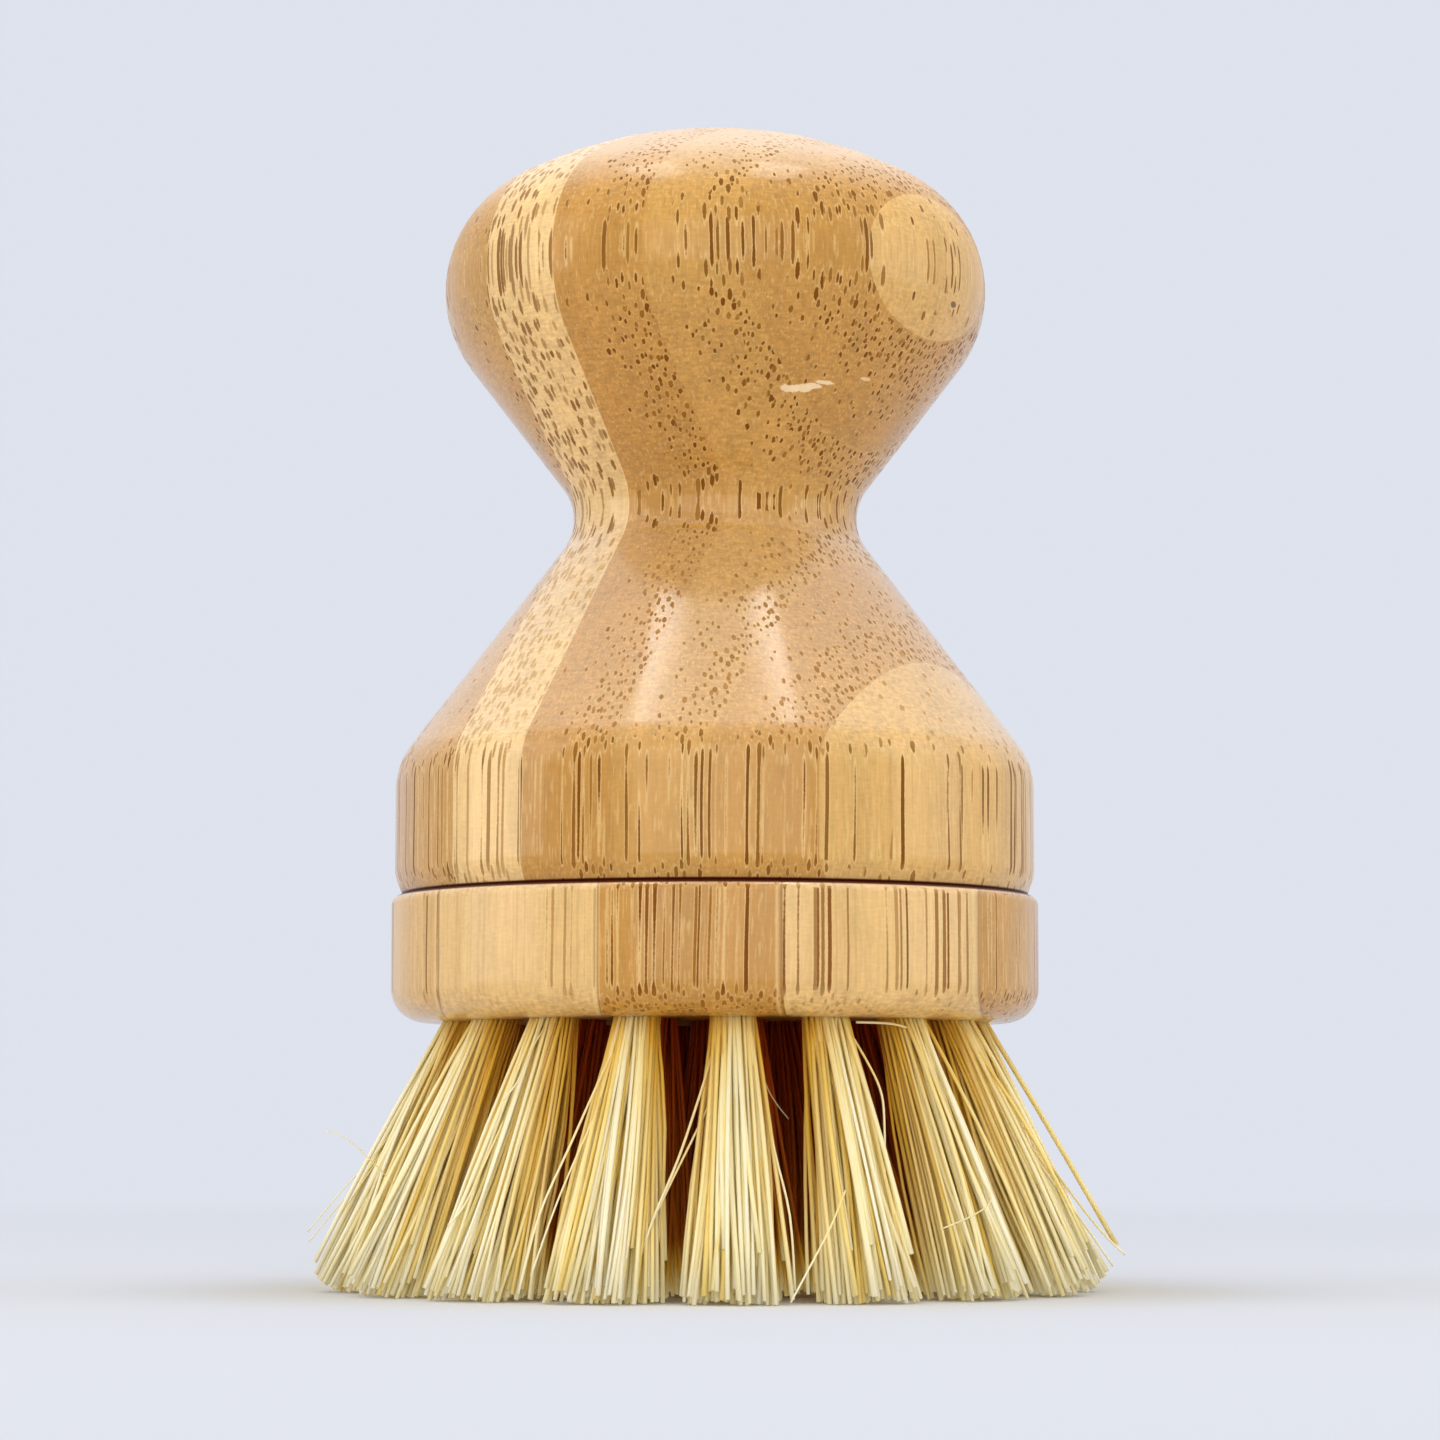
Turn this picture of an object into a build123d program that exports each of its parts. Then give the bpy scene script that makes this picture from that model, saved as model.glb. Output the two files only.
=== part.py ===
"""Palm brush: a turned bamboo handle, glued and dowelled to a round block with tufts of plant fibre.

Each tuft sits in a blind hole, folded over a flat wire anchor that spans the hole.
The brush stands on its trimmed tips: Z points up, and the origin is the middle of the footprint.
The front looks along -Y.
"""

import os
from itertools import combinations
from math import acos, asin, atan2, ceil, cos, degrees, radians, sin, sqrt

from build123d import *

# Overall sizes, in millimetres
trim_length = 23.0
block_thickness = 10.9
block_diameter = 56.0
block_overhang = 0.3

# Turned profile of the handle: its heights are counted upwards, each from the one before
flange_height = 11.3
flare_height = 21.7
knob_rise = 20.0
cone_meeting_diameter = 22.4
knob_diameter = 47.4
knob_edge_radius = 10.7
crown_radius = 37.8
waist_fillet = 4.6
shoulder_fillet = 6.2
base_ease_height = 1.7
base_ease_depth = 0.65
base_ease_fillet = 3.0

# Edges of the brush block
block_top_fillet = 0.9
block_bottom_fillet = 2.9

# Round outlines are turned in short cones that leave the smooth curve by no more than this
turning_sag = 0.05

# Dowel across the glued seam
dowel_diameter = 8.0
dowel_length = 14.0
dowel_chamfer = 0.8
dowel_clearance = 0.05
dowel_end_gap = 0.5

# Tuft holes: rings round a centre hole, all drilled from below towards one point on the axis
tuft_hole_diameter = 4.2
tuft_hole_depth = 5.7
outer_ring_inset = 6.7
drilling_height = 58.5
outer_tuft_count = 17
middle_tuft_count = 12
inner_tuft_count = 6

# Angles round the block, counted from +X, at which a ring starts: the front is at -90
front_angle = -90
outer_first_angle = -86
middle_first_angle = -81

# Wood left between the dowel's bore and the centre hole
bore_web = 1.2

# Flat wire anchors, pushed in as far as the fold of fibres at the hole's end
anchor_height = 1.8
anchor_thickness = 0.4
fold_thickness = 0.6

# Tufts: the packed root in the hole, and the strands that fan out of it
fibre_clearance = 0.05
strand_radius = 0.42
root_rim = 0.65
root_embed = 0.5
tip_cut = 0.5
tuft_tip_gap = 0.2

# Cutters run past the faces they cut by this much
overrun = 2.0

# Strands of a tuft, as circles of a number of strands at a share of the tuft's spread
strand_circle_shares = ((3, 0.4), (9, 1.0))

# The many small round sections have few sides
strand_sides = 3
hole_sides = 10

flange_diameter = block_diameter - 2 * block_overhang
underside = trim_length
seam = underside + block_thickness
waist_level = seam + flange_height + flare_height
knob_level = waist_level + knob_rise
bore_radius = dowel_diameter / 2 + dowel_clearance
block_bore_depth = block_thickness - tuft_hole_depth - bore_web
half_side_angle = 180 / hole_sides
anchor_width = tuft_hole_diameter * cos(radians(half_side_angle))
root_spread = tuft_hole_diameter / 2 - root_rim

# The rings step evenly outwards from the centre tuft
outer_ring_radius = block_diameter / 2 - outer_ring_inset
ring_step = outer_ring_radius / 3

# Name, number of tufts, ring radius, and angle of the first tuft
rings = (
    ("outer", outer_tuft_count, outer_ring_radius, outer_first_angle),
    ("middle", middle_tuft_count, 2 * ring_step, middle_first_angle),
    ("inner", inner_tuft_count, ring_step, front_angle),
    ("centre", 1, 0, front_angle),
)


def polar(radius, angle):
    """Point at a radius and an angle in degrees."""
    return Vector(radius * cos(radians(angle)), radius * sin(radians(angle)))


def even_angles(count, first_angle):
    """Angles that divide a circle evenly."""
    return [first_angle + 360 / count * index for index in range(count)]


def turned_corners(outline):
    """Corners along a smooth outline, with its arcs taken in short straight steps."""
    wire = outline.wire()
    passed = 0
    corners = [wire @ 0]
    for edge in wire.order_edges():
        steps = 1
        if edge.geom_type == GeomType.CIRCLE:
            step_angle = 2 * acos(1 - turning_sag / edge.radius)
            steps = ceil(edge.length / edge.radius / step_angle)
        for step in range(1, steps + 1):
            corners.append(wire @ ((passed + edge.length * step / steps) / wire.length))
        passed += edge.length
    return corners


def tuft_axis(ring_radius, angle, level):
    """Point at a level on a tuft's axis, which comes down and outwards from the drilling point."""
    apex = Vector(0, 0, underside + drilling_height)
    mouth = polar(ring_radius, angle) + Vector(0, 0, underside)
    return apex + (mouth - apex) * ((apex.Z - level) / drilling_height)


def hole_plane(ring_radius, angle):
    """Plane on the flat end of a tuft hole, with Z out of the mouth and X along the ring."""
    mouth = tuft_axis(ring_radius, angle, underside)
    outwards = (tuft_axis(ring_radius, angle, 0) - mouth).normalized()
    return Plane(origin=mouth - outwards * tuft_hole_depth, x_dir=polar(1, angle + 90), z_dir=outwards)


# The knob's round edge touches the crown above it and the cone below it without a corner
edge_centre = Vector(knob_diameter / 2 - knob_edge_radius, knob_level)
waist_corner = Vector(cone_meeting_diameter / 2, waist_level)
crown_drop = sqrt((crown_radius - knob_edge_radius) ** 2 - edge_centre.X**2)
crown_centre = Vector(0, knob_level - crown_drop)
crown_angle = degrees(atan2(crown_drop, edge_centre.X))
to_edge = edge_centre - waist_corner
cone_angle = degrees(atan2(to_edge.Y, to_edge.X) - asin(knob_edge_radius / to_edge.length))
cone_meeting = edge_centre + polar(knob_edge_radius, cone_angle - 90)

# Handle, turned from one laminated blank, with a blind bore for the dowel
with BuildLine() as handle_outline:
    FilletPolyline(
        (flange_diameter / 2 - base_ease_depth, seam),
        (flange_diameter / 2, seam + base_ease_height),
        (flange_diameter / 2, seam + flange_height),
        waist_corner,
        cone_meeting,
        radius=[base_ease_fillet, shoulder_fillet, waist_fillet],
    )
    CenterArc(edge_centre, knob_edge_radius, cone_angle - 90, crown_angle - cone_angle + 90)
    CenterArc(crown_centre, crown_radius, crown_angle, 90 - crown_angle)

with BuildPart() as handle:
    with BuildSketch(Plane.XZ):
        with BuildLine():
            Polyline(*turned_corners(handle_outline), (0, seam), close=True)
        make_face()
    revolve(axis=Axis.Z)
    with Locations(Plane(origin=(0, 0, seam), z_dir=(0, 0, -1))):
        Hole(bore_radius, depth=dowel_length - block_bore_depth + dowel_end_gap)
handle.part.label = "handle"

# Brush block, with a blind bore for the dowel on top and the tuft holes below
hole_planes = [
    hole_plane(ring_radius, angle)
    for name, count, ring_radius, first_angle in rings
    for angle in even_angles(count, first_angle)
]

with BuildLine() as block_outline:
    FilletPolyline(
        (0, underside),
        (block_diameter / 2, underside),
        (block_diameter / 2, seam),
        (0, seam),
        radius=[block_bottom_fillet, block_top_fillet],
    )

with BuildPart() as brush_block:
    with BuildSketch(Plane.XZ):
        with BuildLine():
            Polyline(*turned_corners(block_outline), close=True)
        make_face()
    revolve(axis=Axis.Z)
    with Locations((0, 0, seam)):
        Hole(bore_radius, depth=block_bore_depth)
    with BuildSketch(*hole_planes):
        RegularPolygon(tuft_hole_diameter / 2, hole_sides, rotation=half_side_angle)
    extrude(amount=tuft_hole_depth + overrun, mode=Mode.SUBTRACT)
brush_block.part.label = "brush_block"

# Dowel, down on the end of its bore in the block
with BuildPart(Plane.XY.offset(seam - block_bore_depth + dowel_length / 2)) as joint_dowel:
    Cylinder(dowel_diameter / 2, dowel_length)
    chamfer(joint_dowel.edges().filter_by(GeomType.CIRCLE), dowel_chamfer)
joint_dowel.part.label = "joint_dowel"

# Flat wire anchors, one across each hole
with BuildPart() as tuft_anchors:
    with BuildSketch(*[plane.offset(fold_thickness) for plane in hole_planes]):
        Rectangle(anchor_width, anchor_thickness)
    extrude(amount=anchor_height)
tuft_anchors.part.label = "tuft_anchors"


def least_spacing(centres):
    """Least distance between any two centres."""
    return min((one - other).length for one, other in combinations(centres, 2))


# The strands of a tuft fan out until they are a small gap short of the next tuft's
tuft_tips = [
    tuft_axis(ring_radius, angle, 0)
    for name, count, ring_radius, first_angle in rings
    for angle in even_angles(count, first_angle)
]
tip_spread = (least_spacing(tuft_tips) - tuft_tip_gap) / 2 - strand_radius


def make_strand(ring_radius, spread_share, angle):
    """One strand at its angle round the tuft, from inside the root to just past the tips' cut."""
    ends = []
    for level, spread in ((underside + root_embed, root_spread), (-tip_cut, tip_spread)):
        ends.append(tuft_axis(ring_radius, 0, level) + polar(spread * spread_share, angle))
    root, tip = ends
    with BuildPart() as strand:
        with BuildSketch(Plane(origin=tip, x_dir=polar(1, angle))):
            RegularPolygon(strand_radius, strand_sides)
        extrude(amount=(root - tip).length, dir=root - tip)
    return strand.part


def make_tuft(ring_radius):
    """One tuft at angle zero: the packed root in its hole, fused with all its strands at once."""
    strands = [
        make_strand(ring_radius, spread_share, angle)
        for count, spread_share in strand_circle_shares
        for angle in even_angles(count, 0)
    ]
    hole_end = hole_plane(ring_radius, 0)
    with BuildPart() as tuft:
        with BuildSketch(hole_end.offset(fibre_clearance)):
            RegularPolygon(tuft_hole_diameter / 2 - fibre_clearance, hole_sides, rotation=half_side_angle)
        extrude(amount=tuft_hole_depth + overrun)
        split(bisect_by=Plane.XY.offset(underside), keep=Keep.TOP)
        with BuildSketch(hole_end.offset(fold_thickness)):
            Rectangle(anchor_width, anchor_thickness)
        extrude(amount=anchor_height, mode=Mode.SUBTRACT)
        add(strands)
        split(bisect_by=Plane.XY, keep=Keep.TOP)
    return tuft.part


os.makedirs("parts", exist_ok=True)
for piece in (handle.part, brush_block.part, joint_dowel.part, tuft_anchors.part):
    export_step(piece, f"parts/{piece.label}.step")
for name, count, ring_radius, first_angle in rings:
    ring_tuft = make_tuft(ring_radius)
    for index, angle in enumerate(even_angles(count, first_angle), start=1):
        tuft = ring_tuft.rotate(Axis.Z, angle)
        tuft.label = f"tuft_{name}_{index:02d}" if count > 1 else f"tuft_{name}"
        export_step(tuft, f"parts/{tuft.label}.step")

strand_centres = [
    polar(spread_share, angle)
    for count, spread_share in strand_circle_shares
    for angle in even_angles(count, 0)
]
root_gap = least_spacing(strand_centres) * root_spread - 2 * strand_radius
tip_gap = least_spacing(strand_centres) * tip_spread - 2 * strand_radius
print(f"{len(tuft_tips)} tufts of {len(strand_centres)} strands, which fan out to {tip_spread:.2f} mm")
print(f"least gap of strands {root_gap:.2f} mm in the root and {tip_gap:.2f} mm at the tips")
print(f"height {crown_centre.Y + crown_radius:.1f} mm")
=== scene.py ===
# %% [markdown]
# # A palm brush of bamboo and plant fibre
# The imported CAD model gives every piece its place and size. This lesson dresses it: the turned
# bamboo gets a smooth surface, grain and lacquer, and each tuft gets real fibres, folded in half
# over the flat wire that holds them in their hole. Everything is in metres, with Z up, and the
# brush stands on its tips with its front towards -Y.

# %% Load the frame
from math import acos, asin, atan2, ceil, cos, degrees, pi, radians, sin, sqrt

import bpy
import numpy as np
from mathutils import Matrix, Vector


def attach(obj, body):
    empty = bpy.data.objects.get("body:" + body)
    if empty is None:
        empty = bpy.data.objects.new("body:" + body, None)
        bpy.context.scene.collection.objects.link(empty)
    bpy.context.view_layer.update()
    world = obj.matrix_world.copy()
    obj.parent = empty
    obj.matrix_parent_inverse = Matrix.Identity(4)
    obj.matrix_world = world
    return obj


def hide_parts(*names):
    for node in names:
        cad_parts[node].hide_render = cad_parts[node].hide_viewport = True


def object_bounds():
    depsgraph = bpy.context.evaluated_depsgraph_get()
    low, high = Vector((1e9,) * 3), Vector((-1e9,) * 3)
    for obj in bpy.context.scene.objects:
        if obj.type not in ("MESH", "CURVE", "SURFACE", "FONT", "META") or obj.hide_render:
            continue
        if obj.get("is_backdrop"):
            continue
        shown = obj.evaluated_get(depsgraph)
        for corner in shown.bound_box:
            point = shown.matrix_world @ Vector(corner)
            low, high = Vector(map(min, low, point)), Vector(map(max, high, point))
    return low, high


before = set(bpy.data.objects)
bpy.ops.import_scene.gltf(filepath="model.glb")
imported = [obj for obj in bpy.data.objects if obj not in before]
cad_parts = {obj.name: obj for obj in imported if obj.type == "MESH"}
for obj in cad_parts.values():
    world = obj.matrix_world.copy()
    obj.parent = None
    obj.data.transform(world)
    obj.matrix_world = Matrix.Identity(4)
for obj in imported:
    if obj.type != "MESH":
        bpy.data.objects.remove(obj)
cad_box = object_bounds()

MM = 0.001
print("CAD nodes:", len(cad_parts), "upper corner in mm:", [round(v / MM, 1) for v in cad_box[1]])

# %% [markdown]
# ## Camera
# The brush is seen from the front and a little below its middle, with a long lens from about
# 0.4 m, so the round edges bow gently and the knob shows its underside. The camera is turned and
# rolled by a fraction of a degree, because a hand-held view is never quite square.

# %% Camera
LENS = 108.0
CAMERA_PLACE = Vector((0, -375, 14.1)) * MM
TILT, TURN, ROLL = radians(5.37), radians(0.066), radians(0.05)

camera = bpy.data.objects.new("camera", bpy.data.cameras.new("camera"))
camera.data.lens = LENS
camera.data.sensor_width = 36.0
camera.data.clip_start = 0.01
camera.matrix_world = (
    Matrix.Translation(CAMERA_PLACE)
    @ Matrix.Rotation(-TURN, 4, "Z")
    @ Matrix.Rotation(pi / 2 + TILT, 4, "X")
    @ Matrix.Rotation(ROLL, 4, "Z")
)
bpy.context.collection.objects.link(camera)
bpy.context.scene.camera = camera
bpy.context.scene.view_settings.view_transform = "Standard"
print("camera at", [round(v, 3) for v in camera.location], "m")

# %% [markdown]
# ## A way to write shaders
# A finish is a net of nodes. Drawing it node by node is slow to read, so a small class wraps one
# socket: adding or multiplying two of them adds the Math nodes, and one method adds any other
# node, first its settings and then the value or link of each socket.


# %% Shader helper
class Shade:
    """One socket of a material's node tree. Arithmetic on it adds Math nodes."""

    def __init__(self, tree, socket=None):
        self.tree = tree
        self.socket = socket

    def node(self, kind, inputs=(), output=0, stops=(), interpolation="LINEAR", **settings):
        """Adds a node: its settings and a ramp's stops first, then the values or links of its sockets."""
        made = self.tree.nodes.new(kind)
        for name, value in settings.items():
            setattr(made, name, value)
        if stops:
            ramp = made.color_ramp
            ramp.interpolation = interpolation
            while len(ramp.elements) < len(stops):
                ramp.elements.new(1.0)
            for element, (position, colour) in zip(ramp.elements, stops):
                element.position = position
                element.color = colour
        for key, value in dict(inputs).items():
            if isinstance(value, Shade):
                self.tree.links.new(value.socket, made.inputs[key])
            else:
                made.inputs[key].default_value = value
        return Shade(self.tree, made.outputs[output])

    def maths(self, operation, *values):
        return self.node("ShaderNodeMath", dict(enumerate(values)), operation=operation)

    def mix(self, other, factor, blend_type="MIX"):
        """This colour with another laid over it by a factor."""
        return self.node(
            "ShaderNodeMix", {0: factor, 6: self, 7: other}, 2, data_type="RGBA", blend_type=blend_type
        )

    def clamp(self):
        return self.node("ShaderNodeClamp", {0: self})

    def part(self, axis):
        """One of the three numbers of a place or direction."""
        return self.node("ShaderNodeSeparateXYZ", {0: self}, axis)

    def noise(self, scale, detail):
        """Noise at this place, from 0 to 1."""
        return self.node("ShaderNodeTexNoise", {"Vector": self, "Scale": scale, "Detail": detail})

    def ramp(self, stops, interpolation="LINEAR"):
        """The colour that a ramp has for this number."""
        return self.node("ShaderNodeValToRGB", {0: self}, stops=stops, interpolation=interpolation)

    def __add__(self, other):
        return self.maths("ADD", self, other)

    def __sub__(self, other):
        return self.maths("SUBTRACT", self, other)

    def __rsub__(self, other):
        return self.maths("SUBTRACT", other, self)

    def __mul__(self, other):
        return self.maths("MULTIPLY", self, other)

    def __truediv__(self, other):
        return self.maths("DIVIDE", self, other)

    def __pow__(self, other):
        return self.maths("POWER", self, other)

    def __lt__(self, other):
        return self.maths("LESS_THAN", self, other)

    def __abs__(self):
        return self.maths("ABSOLUTE", self)

    __radd__ = __add__
    __rmul__ = __mul__


def new_finish(name):
    """An empty material, its output node and a Shade to start from."""
    material = bpy.data.materials.new(name)
    material.use_nodes = True
    material.node_tree.nodes.clear()
    output = material.node_tree.nodes.new("ShaderNodeOutputMaterial")
    return material, output, Shade(material.node_tree)


def colour(red, green, blue):
    return (red, green, blue, 1.0)


def grey(value):
    return colour(value, value, value)


# %% [markdown]
# ## Bamboo
# Bamboo board is strips of split cane, planed and glued side by side. Each strip is full of
# bundles of dark fibre that run along it, dense towards the skin side. A lathe cuts through them,
# so they show as long lines where the surface runs with the grain and as dots where it slopes
# across. A flat picture could never do both, so the pattern is solid: cells in the X-Y plane that
# are drawn out along Z, the way the fibres grow. One ramp across the board gives each strip its
# colour, one says how many of its bundles are dark and one how far they are drawn out in depth.

# %% Levels and strips of the board
# Levels in mm: the block's underside, the seam, the ends of the upright flange and of the flare,
# and the level above which hands have dulled the lacquer
UNDERSIDE, SEAM = 23.0, 33.9
FLANGE_TOP, FLARE_TOP, HANDLED_LEVEL = 46.5, 65.0, 84.0

# Half the board's width in mm, bundles of fibre to a mm, and how far in mm they sway
BOARD_REACH = 32.0
BUNDLE_CELLS = 1.75
SWAY = 0.8

# Faces that look up are painted paler with this colour: a painted sheen of the light from above
PAINTED_SHEEN_COLOUR = colour(0.84, 0.69, 0.53)
FLECK_COLOUR = colour(0.86, 0.62, 0.26)
SHEATH_COLOUR = colour(0.88, 0.64, 0.28)
GLUE_COLOUR, GLUE_WIDTH = colour(0.28, 0.13, 0.035), 0.16
GLUE_EDGE_COLOUR, GLUE_EDGE_OFFSET, GLUE_EDGE_WIDTH = colour(0.88, 0.66, 0.34), 0.35, 0.2
# Painted shade of the groove at the seam: nearly black, a fraction of a mm to each side
SEAM_SHADE_COLOUR, SEAM_SHADE_WIDTH = colour(0.055, 0.004, 0.001), 0.28


def across_board(offset):
    """Place of an offset in mm across the board on a ramp."""
    return offset / (2 * BOARD_REACH) + 0.5


def strip_ramps(across, strips):
    """Colour, share of dark bundles and width of their cells, each as a ramp across the board."""
    colour_stops, share_stops, width_stops = [], [], []
    for index, (left, tone, first_share, last_share, width) in enumerate(strips):
        right = strips[index + 1][0] if index + 1 < len(strips) else BOARD_REACH
        colour_stops.append((across_board(left), colour(*tone)))
        width_stops.append((across_board(left), grey(width)))
        share_stops.append((across_board(left) + 0.0005, grey(first_share)))
        share_stops.append((across_board(right), grey(last_share)))
    on_ramp = across * (0.5 / BOARD_REACH) + 0.5
    board = on_ramp.ramp(colour_stops, "CONSTANT")
    share = on_ramp.ramp(share_stops)
    width = on_ramp.ramp(width_stops, "CONSTANT")
    return board, share, width


# %% [markdown]
# The bundles are the cells of a flat Voronoi pattern. Near its middle a cell is bundle, with a
# pale sheath round it, and chance decides which bundles are dark: more of them towards the skin
# side of a strip, and in patches.

# %% Bundles and marks
def bundle_pattern(flat, turned, share, width, lengthwise, on_flange):
    """Where the surface cuts a bundle or its sheath, whether it is a dark one, and its tone."""
    cells = {"Vector": flat, "Scale": BUNDLE_CELLS, "Randomness": 0.95}
    distance = flat.node("ShaderNodeTexVoronoi", cells, "Distance", voronoi_dimensions="2D")
    chance = flat.node("ShaderNodeTexVoronoi", cells, "Color", voronoi_dimensions="2D")
    size_chance, dark_chance, tone_chance = (
        chance.node("ShaderNodeSeparateColor", {0: chance}, channel) for channel in range(3)
    )
    radius = size_chance * size_chance * 0.18 + 0.2 + (1.0 - width) * 0.15
    radius = radius - lengthwise * (on_flange * 0.02 + 0.04)
    distance = distance + (turned.noise(4.0, 1.0) - 0.5) * (0.3 - lengthwise * 0.2)
    bundle = ((radius - distance) * 11.0 + 0.5).clamp()
    sheath = ((radius + 0.12 - distance) * 9.0 + 0.5).clamp() - bundle
    patchy = flat.noise(0.35, 2.0)
    on_wall = lengthwise * width * (share * 0.7 + 0.3) * (patchy * 2.4 + on_flange * 0.35 - 0.6)
    is_dark = dark_chance < share ** 5.0 * (patchy * 1.6 + 0.2) + on_wall
    return bundle, sheath, is_dark, tone_chance


def lay_mark(wood, place, centre, half_sizes, mark_colour):
    """The wood with a small mark of ragged outline on it, whose place and sizes are in mm."""
    inside = place.node("ShaderNodeVectorMath", {0: place, 1: Vector(centre) * MM}, operation="SUBTRACT")
    inside = place.node("ShaderNodeVectorMath", {0: inside, 1: Vector(half_sizes) * MM}, operation="DIVIDE")
    inside = place.node("ShaderNodeVectorMath", {0: inside}, "Value", operation="LENGTH")
    mark = ((1.5 - inside - place.noise(1600.0, 2.0)) * 5.0).clamp()
    return wood.mix(colour(*mark_colour), mark * 0.9)


# %% [markdown]
# The finish lays one colour over the other: the strip, its grain and the marks of the turning
# tool, a painted sheen on faces that look up, sheaths and bundles, glue lines, and painted shade in
# the seam groove. The lacquer is a clear coat, which is worn on the knob and doesn't fill the open
# ends of the dark bundles.

# %% Bamboo finish
def bamboo_finish(name, grain_angle, strips, dot_colour, glue_lines, marks=()):
    """Laminated bamboo under clear lacquer.

    A strip is its left offset in mm, its colour, the shares of dark bundles at its left and right,
    and how wide a cell of its bundles is for its depth. A mark is its place, half sizes and colour.
    """
    material, output, start = new_finish(name)
    place = start.node("ShaderNodeTexCoord", output="Object")
    turned = start.node(
        "ShaderNodeMapping",
        {"Vector": place, "Rotation": (0, 0, -radians(grain_angle)), "Scale": (1 / MM,) * 3},
    )
    across, along, height = (turned.part(axis) for axis in range(3))
    board, share, width = strip_ramps(across, strips)

    # Where the surface runs with the grain, where it looks up, and where the dots are fainter
    upward = start.node("ShaderNodeTexCoord", output="Normal").part(2)
    on_flange = (FLANGE_TOP - height).clamp()
    lengthwise = (1.0 + on_flange * 0.3 - abs(upward) * 2.2).clamp()
    on_slope = 1.0 - lengthwise * 0.7
    facing_up = ((upward - 0.5) * 2.2).clamp()
    on_flare = ((FLARE_TOP - height) * 0.4).clamp() * (1.0 - lengthwise)
    clearness = (1.0 - on_flare * (1.2 - width * 0.78)) * (1.0 - facing_up * 0.35)

    fibre_across = across + (turned.noise(0.06, 1.0) - 0.5) * SWAY
    fibre_along = along + (place.noise(55.0, 1.0) - 0.5) * SWAY
    flat = start.node("ShaderNodeCombineXYZ", {0: fibre_across, 1: fibre_along * width})
    bundle, sheath, is_dark, tone_chance = bundle_pattern(flat, turned, share, width, lengthwise, on_flange)
    strength = is_dark * (tone_chance * 0.6 + 0.4) * (width * 0.6 + 0.4) * clearness + 0.12
    dark = bundle * strength

    grain_place = start.node("ShaderNodeCombineXYZ", {0: fibre_across, 1: fibre_along, 2: height * 0.12})
    grain = grain_place.noise(3.2, 3.0)
    clouds = grain_place.noise(0.3, 2.0)
    pale_fleck = ((grain_place.noise(4.5, 1.0) - 0.58) * 9.0).clamp()
    turned_place = start.node("ShaderNodeCombineXYZ", {0: across, 1: along, 2: height * 3.5})
    turning_marks = turned_place.noise(1.25, 3.0)
    light = (grain - 0.5) * 0.4 + (clouds - 0.5) * 0.4 + (turning_marks - 0.5) * on_slope * 0.8 + 1.0
    light = start.node("ShaderNodeCombineColor", {0: light, 1: light, 2: light})

    wood = board.mix(light, 1.0, "MULTIPLY")
    # Painted sheen: the faces that look up are painted paler, as if lit from above
    wood = wood.mix(PAINTED_SHEEN_COLOUR, facing_up * 0.55)
    wood = wood.mix(FLECK_COLOUR, pale_fleck * 0.3)
    wood = wood.mix(SHEATH_COLOUR, sheath * strength * (lengthwise * 0.3 + 0.25))
    wood = wood.mix(colour(*dot_colour), dark)
    for offset in glue_lines:
        line = (1.0 - abs(across - offset) / GLUE_WIDTH).clamp()
        wood = wood.mix(GLUE_COLOUR, line * 0.75)
        pale_line = (1.0 - abs(across - offset + GLUE_EDGE_OFFSET) / GLUE_EDGE_WIDTH).clamp()
        wood = wood.mix(GLUE_EDGE_COLOUR, pale_line * 0.5)
    for mark in marks:
        wood = lay_mark(wood, place, *mark)
    # Painted shade: the seam groove is painted nearly black, and its lacquer is left off there
    seam_shade = ((SEAM_SHADE_WIDTH - abs(height - SEAM)) * 8.0).clamp()
    wood = wood.mix(SEAM_SHADE_COLOUR, seam_shade)

    handled = ((height - HANDLED_LEVEL) / 6.0).clamp()
    relief = start.node(
        "ShaderNodeBump",
        {"Strength": 0.4, "Distance": 0.03 * MM, "Height": grain * 0.8 + turning_marks * on_slope - dark},
    )
    shader = start.node(
        "ShaderNodeBsdfPrincipled",
        {
            "Base Color": wood,
            "Roughness": grain * 0.2 + handled * 0.12 + 0.3,
            "Specular IOR Level": 0.2,
            "Specular Tint": colour(1.0, 0.8, 0.5),
            "Normal": relief,
            "Coat Weight": (1.0 - bundle * is_dark) * (1.0 - seam_shade) * (0.75 - handled * 0.45),
            "Coat Roughness": 0.13,
        },
    )
    material.node_tree.links.new(shader.socket, output.inputs["Surface"])
    return material


# %% [markdown]
# The strips are read off the front of the brush, from left to right. Two of them, on the handle,
# lie between two named tones. A chip in the knob shows pale wood, and there is one dark speck.

# %% Strips of the boards
IVORY = (0.82, 0.555, 0.245)
CREAM = (0.765, 0.505, 0.21)
HONEY = (0.56, 0.297, 0.066)
CARAMEL = (0.535, 0.267, 0.052)
SAND = (0.69, 0.42, 0.135)
CHIP, CHIP_END, SPECK = (0.95, 0.76, 0.50), (0.90, 0.60, 0.30), (0.10, 0.035, 0.006)

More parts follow.
